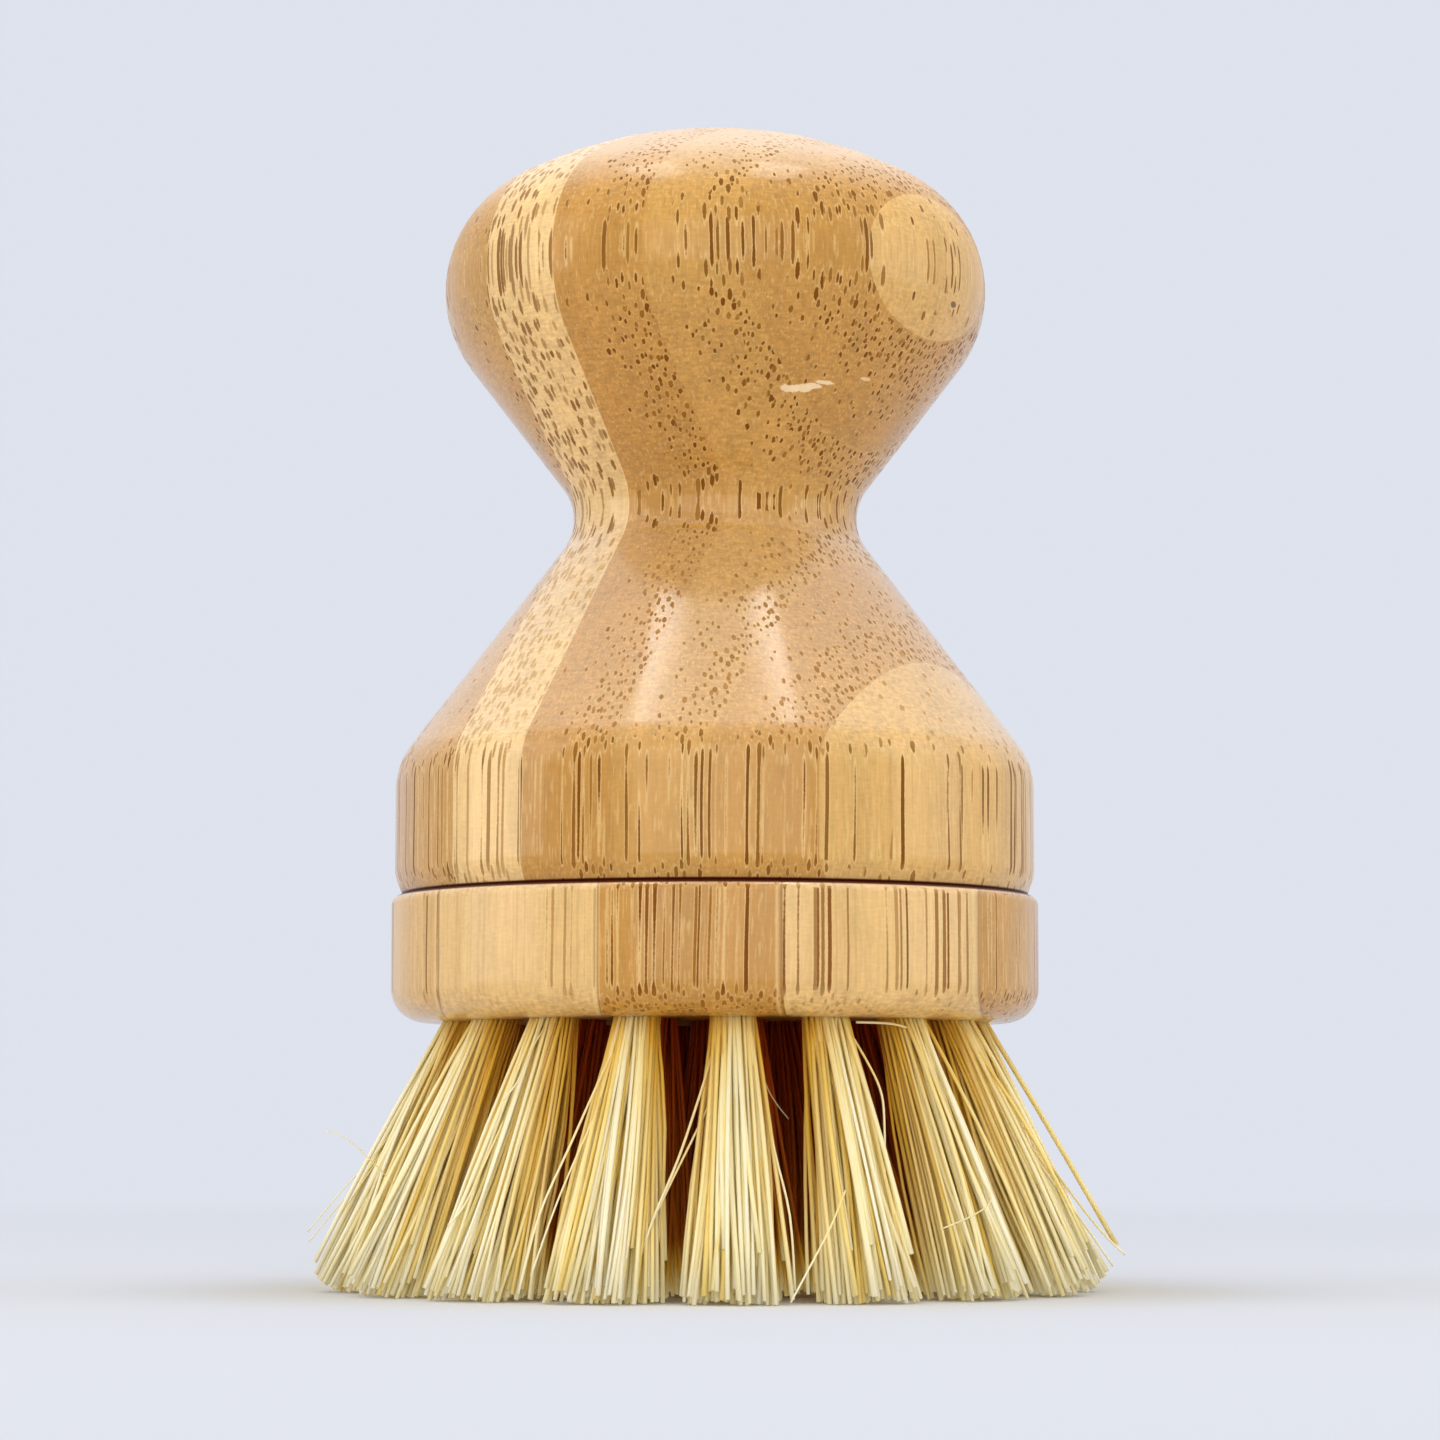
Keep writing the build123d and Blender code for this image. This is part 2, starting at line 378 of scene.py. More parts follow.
handle_bamboo = bamboo_finish(
    "handle_bamboo",
    -34.0,
    (
        (-31.0, HONEY, 0.4, 1.0, 1.0),
        (-16.5, HONEY, 0.3, 0.8, 1.0),
        (-8.7, IVORY, 1.1, 0.85, 0.62),
        (-0.7, CARAMEL, 0.35, 1.2, 1.0),
        (7.6, (0.57, 0.306, 0.069), 0.35, 1.15, 1.0),
        (14.8, (0.54, 0.276, 0.056), 0.5, 1.2, 1.0),
        (21.7, SAND, 0.6, 0.75, 0.8),
    ),
    (0.2, 0.066, 0.003),
    (),
    (
        ((6.3, -16.9, 75.70), (1.0, 1.3, 0.34), CHIP),
        ((7.3, -16.7, 75.80), (1.1, 1.3, 0.33), CHIP),
        ((8.3, -16.4, 76.02), (1.0, 1.3, 0.26), CHIP),
        ((9.2, -16.0, 76.36), (0.9, 1.3, 0.17), CHIP),
        ((12.7, -14.0, 77.0), (0.6, 1.0, 0.14), CHIP_END),
        ((20.3, -11.4, 83.9), (0.4, 0.6, 0.3), SPECK),
    ),
)
block_bamboo = bamboo_finish(
    "block_bamboo",
    -8.6,
    (
        (-31.0, SAND, 0.5, 0.4, 0.6),
        (-20.3, CREAM, 0.2, 0.4, 0.6),
        (-5.4, CARAMEL, 1.1, 0.95, 1.0),
        (9.4, CREAM, 0.9, 0.6, 0.8),
        (24.2, HONEY, 0.8, 0.9, 1.0),
    ),
    (0.2, 0.06, 0.003),
    (-20.3, -5.4, 9.4, 24.2),
)
print("bamboo finishes:", handle_bamboo.name, block_bamboo.name)

# %% [markdown]
# ## Turned pieces
# On a lathe a piece is nothing but its outline, turned about the axis. Here it is the same: one
# point is drawn out into the outline, corner by corner, and the spin operator carries it round.
# The outline is worked out as the joiner would draw it: straight lines, and arcs that touch them.

# %% Outline helpers
ARC_STEP, SMOOTH_ANGLE = radians(6.0), radians(30)


def arc_points(centre, radius, start, end):
    """Points along an arc from one angle to another, in degrees, both ends included."""
    steps = max(2, ceil(abs(radians(end - start)) / ARC_STEP))
    angles = np.radians(np.linspace(start, end, steps + 1))
    return [(centre[0] + radius * cos(a), centre[1] + radius * sin(a)) for a in angles]


def eased_corner(before, corner, after, radius):
    """Points of the arc that rounds a corner between two straight lines."""
    before, corner, after = (Vector(point) for point in (before, corner, after))
    into, out = (before - corner).normalized(), (after - corner).normalized()
    half = acos(into.dot(out)) / 2
    centre = corner + (into + out).normalized() * (radius / sin(half))
    first = corner + into * (radius / np.tan(half)) - centre
    last = corner + out * (radius / np.tan(half)) - centre
    start = degrees(atan2(first.y, first.x))
    sweep = degrees(first.angle_signed(last))
    return arc_points(centre, radius, start, start - sweep)


def turn_piece(name, outline, turns=192):
    """Draws an outline of (radius, height) in mm as by hand and spins it into a closed piece."""
    bpy.ops.object.select_all(action="DESELECT")
    bpy.ops.mesh.primitive_plane_add(size=1 * MM)
    piece = bpy.context.object
    piece.name = piece.data.name = name
    bpy.ops.object.mode_set(mode="EDIT")
    bpy.ops.mesh.select_all(action="SELECT")
    bpy.ops.mesh.merge(type="CENTER")
    bpy.ops.transform.translate(value=(outline[0][0] * MM, 0, outline[0][1] * MM))
    for (radius, level), (next_radius, next_level) in zip(outline, outline[1:]):
        step = ((next_radius - radius) * MM, 0, (next_level - level) * MM)
        bpy.ops.mesh.extrude_region_move(TRANSFORM_OT_translate={"value": step})
    bpy.ops.mesh.select_all(action="SELECT")
    bpy.ops.mesh.spin(steps=turns, angle=2 * pi, center=(0, 0, 0), axis=(0, 0, 1))
    bpy.ops.mesh.select_all(action="SELECT")
    bpy.ops.mesh.remove_doubles(threshold=0.001 * MM)
    bpy.ops.mesh.normals_make_consistent(inside=False)
    bpy.ops.object.mode_set(mode="OBJECT")
    bpy.ops.object.transform_apply()
    bpy.ops.object.shade_smooth_by_angle(angle=SMOOTH_ANGLE)
    print(name, "has", len(piece.data.polygons), "faces")
    return piece


# %% [markdown]
# ## Handle
# The handle is turned from one laminated blank: a crown and a round edge that fill the palm, a
# cone down to the narrow waist for the fingers, and a wide flare that ends in an upright flange.
# Its foot is eased inwards, which makes half of the dark groove at the seam. The blind bore for
# the dowel is part of the outline.

# %% Handle
FLANGE_RADIUS, BORE_RADIUS, HANDLE_BORE = 27.7, 4.05, 10.5
EDGE_CENTRE, EDGE_RADIUS, CROWN_RADIUS = Vector((13.0, 86.9)), 10.7, 37.8
WAIST_CORNER = Vector((11.2, 66.9))
EASE_DEPTH, EASE_HEIGHT, FLANGE_HEIGHT = 0.65, 1.7, 11.3
EASE_FILLET, SHOULDER_FILLET, WAIST_FILLET = 3.0, 6.2, 4.6

crown_drop = sqrt((CROWN_RADIUS - EDGE_RADIUS) ** 2 - EDGE_CENTRE.x**2)
crown_angle = degrees(atan2(crown_drop, EDGE_CENTRE.x))
to_edge = EDGE_CENTRE - WAIST_CORNER
cone_angle = degrees(atan2(to_edge.y, to_edge.x) - asin(EDGE_RADIUS / to_edge.length))
cone_end = EDGE_CENTRE + EDGE_RADIUS * Vector((sin(radians(cone_angle)), -cos(radians(cone_angle))))

base = (FLANGE_RADIUS - EASE_DEPTH, SEAM)
ease = (FLANGE_RADIUS, SEAM + EASE_HEIGHT)
shoulder = (FLANGE_RADIUS, SEAM + FLANGE_HEIGHT)
handle_outline = [
    (0, SEAM + HANDLE_BORE),
    (BORE_RADIUS, SEAM + HANDLE_BORE),
    (BORE_RADIUS, SEAM),
    base,
    *eased_corner(base, ease, shoulder, EASE_FILLET),
    *eased_corner(ease, shoulder, WAIST_CORNER, SHOULDER_FILLET),
    *eased_corner(shoulder, WAIST_CORNER, cone_end, WAIST_FILLET),
    *arc_points(EDGE_CENTRE, EDGE_RADIUS, cone_angle - 90, crown_angle),
    *arc_points((0, EDGE_CENTRE.y - crown_drop), CROWN_RADIUS, crown_angle, 90)[1:],
]
handle = turn_piece("handle_turned", handle_outline)
handle.data.materials.append(handle_bamboo)
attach(handle, "root")
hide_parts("handle")
print("handle height in mm:", round(handle.dimensions.z / MM, 2), "CAD top:", round(cad_box[1].z / MM, 2))

# %% [markdown]
# ## Brush block
# The block is a flat disc, a little wider than the flange so that its edge catches the light. Its
# lower edge is well rounded. The 36 tuft holes are drilled from below towards one point on the
# axis, so they lean outwards more and more from the middle. A drill is added at every hole, the
# drills are joined, and a boolean takes the holes out.

# %% Brush block
BLOCK_RADIUS, BLOCK_BORE = 28.0, 4.0
BOTTOM_FILLET, TOP_FILLET = 2.9, 0.9
HOLE_RADIUS, HOLE_DEPTH, DRILLING_HEIGHT = 2.1, 5.7, 58.5
DRILL_OVERRUN, DRILL_SIDES = 2.0, 20
RINGS = (
    ("outer", 17, 21.3, -86.0),
    ("middle", 12, 14.2, -81.0),
    ("inner", 6, 7.1, -90.0),
    ("centre", 1, 0.0, -90.0),
)


def tuft_point(ring_radius, angle, level):
    """Point of a tuft's axis at a level, in mm."""
    reach = ring_radius * (1 + (UNDERSIDE - level) / DRILLING_HEIGHT)
    return Vector((reach * cos(radians(angle)), reach * sin(radians(angle)), level))


def tuft_places():
    """Name, ring, ring radius and angle of every tuft."""
    for ring, count, ring_radius, first_angle in RINGS:
        for index in range(count):
            name = f"tuft_{ring}_{index + 1:02d}" if count > 1 else f"tuft_{ring}"
            yield name, ring, ring_radius, first_angle + 360 / count * index


bottom, top = (BLOCK_RADIUS, UNDERSIDE), (BLOCK_RADIUS, SEAM)
block_outline = [
    (0, UNDERSIDE),
    *eased_corner((0, UNDERSIDE), bottom, top, BOTTOM_FILLET),
    *eased_corner(bottom, top, (0, SEAM), TOP_FILLET),
    (BORE_RADIUS, SEAM),
    (BORE_RADIUS, SEAM - BLOCK_BORE),
    (0, SEAM - BLOCK_BORE),
]
block = turn_piece("block_turned", block_outline)

bpy.ops.object.select_all(action="DESELECT")
drills = []
for name, ring, ring_radius, angle in tuft_places():
    mouth = tuft_point(ring_radius, angle, UNDERSIDE)
    down = (tuft_point(ring_radius, angle, 0) - mouth).normalized()
    middle = mouth + down * (DRILL_OVERRUN - HOLE_DEPTH) / 2
    bpy.ops.mesh.primitive_cylinder_add(
        vertices=DRILL_SIDES,
        radius=HOLE_RADIUS * MM,
        depth=(HOLE_DEPTH + DRILL_OVERRUN) * MM,
        location=middle * MM,
        rotation=down.to_track_quat("Z", "Y").to_euler(),
    )
    drills.append(bpy.context.object)
for drill in drills:
    drill.select_set(True)
bpy.ops.object.join()
drills = bpy.context.object
cut = block.modifiers.new("holes", "BOOLEAN")
cut.operation = "DIFFERENCE"
cut.object = drills
bpy.context.view_layer.objects.active = block
bpy.ops.object.modifier_apply(modifier="holes")
bpy.data.objects.remove(drills)
block.data.materials.clear()
block.data.materials.append(block_bamboo)
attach(block, "root")
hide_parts("brush_block")
print("block has", len(block.data.polygons), "faces after the holes")

# %% [markdown]
# ## Fibre
# The tufts are stiff plant fibre, cream to gold, and no two alike: each fibre carries a tone of
# its own, and a painted shade along its length. Deep between the tufts, where shade falls, the
# fibres are painted dark brown, and only their cut tips are bright. Both numbers are stored on the
# mesh, where the finish reads them. A low shade also paints the fibres golden, as light that has
# passed through the thin outer fibres would be.

# %% Fibre finish
fibre_material, output, start = new_finish("plant_fibre")
tone = start.node("ShaderNodeAttribute", output="Fac", attribute_name="tone")
shade = start.node("ShaderNodeAttribute", output="Fac", attribute_name="shade")
place = start.node("ShaderNodeTexCoord", output="Object")
streaks = start.node("ShaderNodeMapping", {"Vector": place, "Scale": (900.0, 900.0, 160.0)})
mottle = streaks.noise(1.0, 2.0)
fibre_colour = (tone + (mottle - 0.5) * 0.35).ramp(
    (
        (0.0, colour(0.80, 0.53, 0.09)),
        (0.3, colour(0.93, 0.73, 0.25)),
        (0.6, colour(0.99, 0.88, 0.48)),
        (1.0, colour(1.0, 0.972, 0.79)),
    ),
)
# Painted shade: a low shade darkens a fibre towards maroon and a middle one tints it golden
painted_shade_tint = shade.ramp(
    (
        (0.0, colour(0.45, 0.06, 0.007)),
        (0.3, colour(0.54, 0.18, 0.02)),
        (0.6, colour(0.84, 0.55, 0.10)),
        (0.82, colour(0.99, 0.87, 0.54)),
        (0.93, colour(1.0, 0.97, 0.86)),
        (1.0, grey(1.0)),
    ),
)
fibre_colour = fibre_colour.mix(painted_shade_tint, 1.0, "MULTIPLY")
fibre_relief = start.node("ShaderNodeBump", {"Strength": 0.3, "Distance": 0.03 * MM, "Height": mottle})
skin = start.node(
    "ShaderNodeBsdfPrincipled",
    {
        "Base Color": fibre_colour,
        "Roughness": mottle * 0.2 + 0.4,
        "Specular IOR Level": 0.1,
        "Specular Tint": colour(1.0, 0.85, 0.55),
        "Normal": fibre_relief,
    },
)
fibre_material.node_tree.links.new(skin.socket, output.inputs["Surface"])
print("fibre finish:", fibre_material.name)

# %% [markdown]
# ## One folded fibre
# A tuft is a bunch of long fibres folded in half over the wire, so both ends of each are tips. The
# two legs pass the wire on either side, fill the hole, and fan out below it. A leg leaves the
# hole along its axis, then drifts to its own place among the tips. They are trimmed on a flat
# wheel, but the cut is never quite even, and a few fibres always stray.

# %% Paths of the fibres
# Sizes are in mm. How far a tuft reaches round its axis in the root and at the tips, how much that
# varies, and how far a tuft leans
ROOT_REACH, ROOT_SCATTER = 1.85, 0.03
TIP_REACH, TIP_SPREADS, LEAN = 4.5, (0.92, 1.06), 0.45
FIBRE_RADIUS = 0.205

# Legs of a tuft in each ring, two to a folded fibre, and the shares of the way from the hole's
# mouth to the tips at which a leg has its points
LEGS = {"outer": 148, "middle": 84, "inner": 64, "centre": 64}
OUTSIDE_SHARES = (1.0, 0.8, 0.6, 0.4, 0.2, 0.0)

# Tips past a limit are drawn in to it, and those that splay far to the sides lift off the floor,
# more at the right
OUTER_LIMIT = 34.6
SPLAY_START, SPLAY_LIFTS, SPLAY_POWER = 32.3, (0.5, 1.0), 1.4

# Tips gather in clumps: a fibre keeps a share of its own place and takes one of its clump's
CLUMPS, OWN_SHARE, CLUMP_SHARE, SCATTER = 12, 0.68, 0.3, 0.13

# Fibres bow a little and are cut unevenly, and a few are short or stray
BOW, STRAY_BOW = 0.35, 0.45
TRIM_HEIGHT, TRIM_UNEVENNESS = 0.05, 1.8
SHORT_CHANCE, SHORT_CUTS = 0.08, (0.8, 4.0)
STRAY_CHANCE, STRAY_REACHES, STRAY_SCATTER = 0.04, (0.2, 1.2), 0.3

# Depths in the hole at which a leg passes the wire's foot and top, its least distance from the
# wire's middle, and how wide the fibres lie there, along the ring and across it
WIRE_FOOT, WIRE_TOP, WIRE_SIDE = 3.1, 5.1, 0.36
FOLD_SPREAD, FOLD_THICKNESS = 1.6, 1.25

# How far below the wire's top a fold starts, how high its crest stands above it, and how much
# higher for the fibres further out
FOLD_START, CREST_GAP, CREST_SLOPE = 0.2, 0.16, 0.3


def scattered_disc(count, random):
    """Evenly scattered points of a round bunch of radius 1."""
    index = np.arange(count)
    reach = np.sqrt((index + 0.5) / count)
    angle = index * pi * (3 - sqrt(5))
    points = np.stack((reach * np.cos(angle), reach * np.sin(angle)), axis=1)
    return points + random.normal(0, ROOT_SCATTER, points.shape)


# Painted shades at four shares of the way to the tips, what a tuft's flank, back and core lose of
# them, and how much of that loss is gone at the tips
LEG_SHARES = (0.0, 0.3, 0.8, 1.0)
LEG_SHADES = {
    "outer": (0.8, 1.0, 1.0, 1.0),
    "middle": (0.0, 0.08, 0.35, 0.95),
    "inner": (0.0, 0.03, 0.3, 0.95),
    "centre": (0.0, 0.03, 0.3, 0.95),
}
FLANK_LOSS, BACK_LOSS, CORE_LOSS, TIP_RELIEF = 0.38, 0.4, 0.36, 0.75


def leg_shade(ring, share, x, y):
    """Painted shade of a fibre at a share of its way to the tips: less on the tuft's flanks and back."""
    core = 1 - min(1.0, sqrt(x**2 + y**2))
    hidden = FLANK_LOSS * x**2 + BACK_LOSS * max(0.0, -y) + CORE_LOSS * core
    loss = hidden * (1 - TIP_RELIEF * share**2)
    return float(np.interp(share, LEG_SHARES, LEG_SHADES[ring])) * (1 - loss)


def tuft_fibres(ring, ring_radius, angle, random):
    """Paths of a tuft's folded fibres in mm, each with its points' shades and its reach in the root."""
    mouth = tuft_point(ring_radius, angle, UNDERSIDE)
    down = (tuft_point(ring_radius, angle, 0) - mouth).normalized()
    round_ring = Vector((-sin(radians(angle)), cos(radians(angle)), 0))
    outwards = down.cross(round_ring).normalized()
    level = Vector((cos(radians(angle)), sin(radians(angle)), 0))
    roots = scattered_disc(LEGS[ring], random)
    roots = roots[np.argsort(roots[:, 0])]
    spread = TIP_REACH * random.uniform(*TIP_SPREADS)
    lean = random.normal(0, LEAN, 2)
    clump_centres = roots[random.choice(len(roots), CLUMPS, replace=False)]
    legs = []
    for x, y in roots:
        nearest = clump_centres[np.argmin(((clump_centres - (x, y)) ** 2).sum(1))]
        spot = np.array((x, y)) * OWN_SHARE + nearest * CLUMP_SHARE + random.normal(0, SCATTER, 2)
        bow = random.normal(0, BOW, 2)
        cut = TRIM_HEIGHT + random.uniform(0, TRIM_UNEVENNESS) * random.random()
        if random.random() < SHORT_CHANCE:
            cut += random.uniform(*SHORT_CUTS)
        if random.random() < STRAY_CHANCE:
            spot = spot * random.uniform(*STRAY_REACHES) + random.normal(0, STRAY_SCATTER, 2)
            bow = random.normal(0, STRAY_BOW, 2)
        start_point = mouth + round_ring * (x * ROOT_REACH) + outwards * (y * ROOT_REACH)
        tip = tuft_point(ring_radius, angle, cut)
        tip = tip + round_ring * (spot[0] * spread + lean[0]) + level * (spot[1] * spread + lean[1])
        splay = max(0.0, tip.dot(level) - SPLAY_START) * abs(level.x)
        tip.z += SPLAY_LIFTS[level.x > 0] * splay**SPLAY_POWER
        reach = sqrt(tip.x**2 + tip.y**2)
        if reach > OUTER_LIMIT:
            tip.x, tip.y = tip.x * OUTER_LIMIT / reach, tip.y * OUTER_LIMIT / reach
        straight = down * (tip - start_point).length
        points = []
        for share in OUTSIDE_SHARES:
            drift = (tip - start_point - straight) * share
            bend = (round_ring * bow[0] + level * bow[1]) * sin(pi * share)
            points.append(start_point + straight * share + drift + bend)
        side = WIRE_SIDE if y > 0 else -WIRE_SIDE
        for depth in (WIRE_FOOT, WIRE_TOP - FOLD_START):
            offset = round_ring * (x * FOLD_SPREAD) + outwards * (side + y * FOLD_THICKNESS)
            points.append(mouth - down * depth + offset)
        shades = [leg_shade(ring, share, x, y) for share in OUTSIDE_SHARES]
        legs.append((points, shades + shades[-1:] * 2, x, y))
    front = [leg for leg in legs if leg[3] > 0]
    back = [leg for leg in legs if leg[3] <= 0]
    paths = []
    for (one, one_shades, x, y), (other, other_shades, _, _) in zip(front, back):
        crest = mouth - down * (WIRE_TOP + CREST_GAP + CREST_SLOPE * y) + round_ring * (x * FOLD_SPREAD)
        shades = one_shades + one_shades[-1:] + other_shades[::-1]
        paths.append((one + [crest] + other[::-1], shades, sqrt(x**2 + y**2)))
    return paths


def smooth_path(corners, steps=4):
    """Points along a smooth curve through a stray's corners, in mm."""
    corners = [Vector(corner) for corner in corners]
    knots = [corners[0], *corners, corners[-1]]
    points = []
    for a, b, c, d in zip(knots, knots[1:], knots[2:], knots[3:]):
        for step in range(steps):
            t = step / steps
            bend = (2 * a - 5 * b + 4 * c - d) * t**2 + (3 * b - a - 3 * c + d) * t**3
            points.append(b + ((c - a) * t + bend) / 2)
    return points + [corners[-1]]


# Strays that the eye finds at once are listed one by one: tuft, thickness, and corners in mm
STRAYS = (
    (
        "tuft_outer_14", 0.4,
        ((-25, -7.2, 6.8), (-26.4, -8, 8.5), (-29.8, -8, 11.9), (-31.3, -8, 13.1), (-32.9, -8, 13.7)),
    ),
    (
        "tuft_outer_14", 0.45,
        ((-26.8, -4.5, 14.6), (-29.4, -3.5, 11.2), (-31.7, -3, 8.8), (-34.8, -3, 5.1)),
    ),
    (
        "tuft_outer_14", 0.45,
        ((-27.2, -4.5, 13.4), (-30.3, -3.5, 9.5), (-32.5, -3, 6.9), (-34.7, -3, 4.2)),
    ),
    (
        "tuft_outer_14", 0.5,
        ((-27.8, -4.5, 12.6), (-30.8, -4, 8.2), (-32.6, -4, 5.4), (-34.0, -4, 3.0)),
    ),
    (
        "tuft_outer_16", 0.7,
        ((-13.8, -18.5, 22.5), (-15.1, -20.8, 20.1), (-16.0, -21.6, 17.8), (-17.2, -22.3, 16.2)),
    ),
    (
        "tuft_outer_16", 0.8,
        ((-17.2, -21.5, 14.5), (-18.7, -23, 11), (-20.2, -24, 7.7), (-21.5, -24.5, 6.1)),
    ),
    (
        "tuft_outer_17", 0.9,
        ((-7.6, -21.3, 21.5), (-9.0, -23.5, 18.6), (-11.6, -26, 12.6), (-14, -28, 7), (-15.6, -29, 0.8)),
    ),
    (
        "tuft_outer_17", 0.8,
        ((-8.3, -23, 18), (-10.3, -25.5, 13.5), (-12.6, -27.5, 8), (-14.6, -29, 2.2)),
    ),
    (
        "tuft_outer_01", 0.9,
        ((0.2, -22, 21.5), (-0.7, -24, 18.2), (-2.8, -26.5, 11.8), (-4.8, -28, 7), (-5.8, -28.5, 4)),
    ),
    (
        "tuft_outer_01", 0.8,
        ((0.3, -22.5, 19), (-0.5, -24.5, 15.8), (-3.4, -27, 9.8), (-5.2, -28, 6), (-6.4, -28.5, 3.2)),
    ),
    (
        "tuft_outer_01", 0.8,
        ((3.3, -22, 21), (4.1, -24, 16.6), (4.8, -26.5, 12.2), (6, -28.5, 7), (6.4, -29.5, 1.1)),
    ),
    (
        "tuft_outer_01", 0.5,
        ((3.5, -19.5, 19.5), (4.4, -18.5, 17.1), (5.2, -17.5, 15.8), (6.1, -16.5, 14.7)),
    ),
    (
        "tuft_outer_02", 0.8,
        (
            (10.4, -19.5, 22.9),
            (12.4, -20.2, 19.5),
            (13.5, -21, 17.1),
            (13.8, -21.6, 14.8),
            (13.8, -22.6, 10),
        ),
    ),
    (
        "tuft_outer_02", 0.8,
        ((10.4, -29.6, 9), (9.2, -31, 6.2), (7.6, -32, 3.2), (6.0, -32.6, 0.3)),
    ),
    (
        "tuft_outer_03", 0.8,
        ((16.6, -16, 22), (14.6, -18.5, 22.5), (11.6, -20, 22.6)),
    ),
    (
        "tuft_outer_03", 0.5,
        ((21.6, -20.5, 10), (22.4, -23.3, 8.2), (21, -23.8, 7), (18.2, -24, 5.8)),
    ),
    (
        "tuft_outer_04", 0.9,
        ((26.2, -8, 14), (30.2, -4.5, 8.7), (32.9, -4, 5.3), (35, -4, 3.2)),
    ),
    (
        "tuft_outer_04", 0.8,
        ((26, -8, 13), (28.5, -6.5, 9.6), (31.4, -6, 5.8), (33.8, -6, 2.3)),
    ),
    (
        "tuft_outer_04", 0.8,
        ((26.6, -9, 12.5), (29.3, -8, 8.7), (31.1, -8, 4.1), (32.5, -8, 1)),
    ),
)
print("strays placed by hand:", len(STRAYS))


# %% [markdown]
# ## Tufts
# Drawing thousands of fibres by hand isn't possible, so each tuft is a curve object with one
# spline for each folded fibre. A small round bevel gives them their thickness, and converting the
# curve gives a plain mesh. The tone and shade of the fibres are then written on its points.

# %% Tufts
SIDES = 4
FIRST_SEED = 300

# One fibre in five is golden, the rest are pale, and both get a painted shade in the core of the tuft
GOLDEN_CHANCE, GOLDEN_TONES = 0.2, (0.4, 0.85)
PALE_TONE, PALE_SCATTER, CORE_PAINTED_SHADE = 0.97, 0.08, 0.42
WIDTHS = (0.7, 1.1)
# Strays are painted a little darker towards their root, as painted shade under the block
STRAY_TONE, STRAY_WIDTH, STRAY_SHADES = 0.9, 0.65, (0.75, 1.0)


def make_tuft(name, paths, random):
    """A mesh of fibres along the paths, with the tone and shade of each point stored on it."""
    curve = bpy.data.curves.new(name, "CURVE")
    curve.dimensions = "3D"
    curve.twist_mode = "MINIMUM"
    curve.bevel_depth = FIBRE_RADIUS * MM
    curve.bevel_resolution = 0
    tones, shades, strands = [], [], []
    for path, path_shades, reach in paths:
        is_golden = random.random() < GOLDEN_CHANCE
        tone = random.uniform(*GOLDEN_TONES) if is_golden else random.normal(PALE_TONE, PALE_SCATTER)
        tone = np.clip(tone - CORE_PAINTED_SHADE * (1 - reach), 0.0, 1.0)
        strands.append((path, path_shades, random.uniform(*WIDTHS), tone))
    for stray_tuft, width, corners in STRAYS:
        if name == stray_tuft + "_fibres":
            path = smooth_path(corners)
            stray_shades = np.linspace(*STRAY_SHADES, len(path))
            strands.append((path, stray_shades, width * STRAY_WIDTH, STRAY_TONE))
    for path, path_shades, width, tone in strands:
        spline = curve.splines.new("POLY")
        spline.points.add(len(path) - 1)
        for point, place in zip(spline.points, path):
            point.co = (*(place * MM), 1.0)
            point.radius = width
        tones += [tone] * len(path) * SIDES
        shades += list(np.repeat(path_shades, SIDES))
    tuft = bpy.data.objects.new(name, curve)
    bpy.context.collection.objects.link(tuft)
    bpy.ops.object.select_all(action="DESELECT")
    tuft.select_set(True)
    bpy.context.view_layer.objects.active = tuft
    bpy.ops.object.convert(target="MESH")
    tuft = bpy.context.object
    for attribute, values in (("tone", tones), ("shade", shades)):
        layer = tuft.data.attributes.new(attribute, "FLOAT", "POINT")
        layer.data.foreach_set("value", np.array(values, dtype=np.float32))
    bpy.ops.object.mode_set(mode="EDIT")
    bpy.ops.mesh.select_all(action="SELECT")
    bpy.ops.mesh.fill_holes(sides=SIDES)
    bpy.ops.mesh.normals_make_consistent(inside=False)
    bpy.ops.object.mode_set(mode="OBJECT")
    bpy.ops.object.shade_smooth()
    return tuft


tip_count = 0
for number, (node, ring, ring_radius, angle) in enumerate(tuft_places()):
    random = np.random.default_rng(FIRST_SEED + number)
    paths = tuft_fibres(ring, ring_radius, angle, random)
    tuft = make_tuft(node + "_fibres", paths, random)
    tuft.data.materials.append(fibre_material)
    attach(tuft, "root")
    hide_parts(node)
    tip_count += 2 * len(paths)
print("tips in all:", tip_count, "faces of the last tuft:", len(tuft.data.polygons))

# %% [markdown]
# ## Hidden pieces
# The dowel across the seam and the flat wires that hold the tufts can't be seen on the finished
# brush. Their CAD shapes are right as they are and only need a finish: pale beech with its short
# dark flecks, and drawn steel with fine lines along the wire.

# %% Dowel and wire
beech, output, start = new_finish("dowel_wood")
place = start.node("ShaderNodeTexCoord", output="Object")
stretched = start.node("ShaderNodeMapping", {"Vector": place, "Scale": (1500.0, 1500.0, 120.0)})
grain = stretched.noise(1.0, 3.0)
beech_colour = grain.ramp(
    ((0.3, colour(0.45, 0.27, 0.13)), (0.5, colour(0.68, 0.47, 0.27)), (0.7, colour(0.76, 0.56, 0.35)))
)
beech_relief = start.node("ShaderNodeBump", {"Strength": 0.3, "Distance": 0.05 * MM, "Height": grain})
shader = start.node(
    "ShaderNodeBsdfPrincipled",
    {"Base Color": beech_colour, "Roughness": grain * 0.2 + 0.55, "Normal": beech_relief},
)
beech.node_tree.links.new(shader.socket, output.inputs["Surface"])

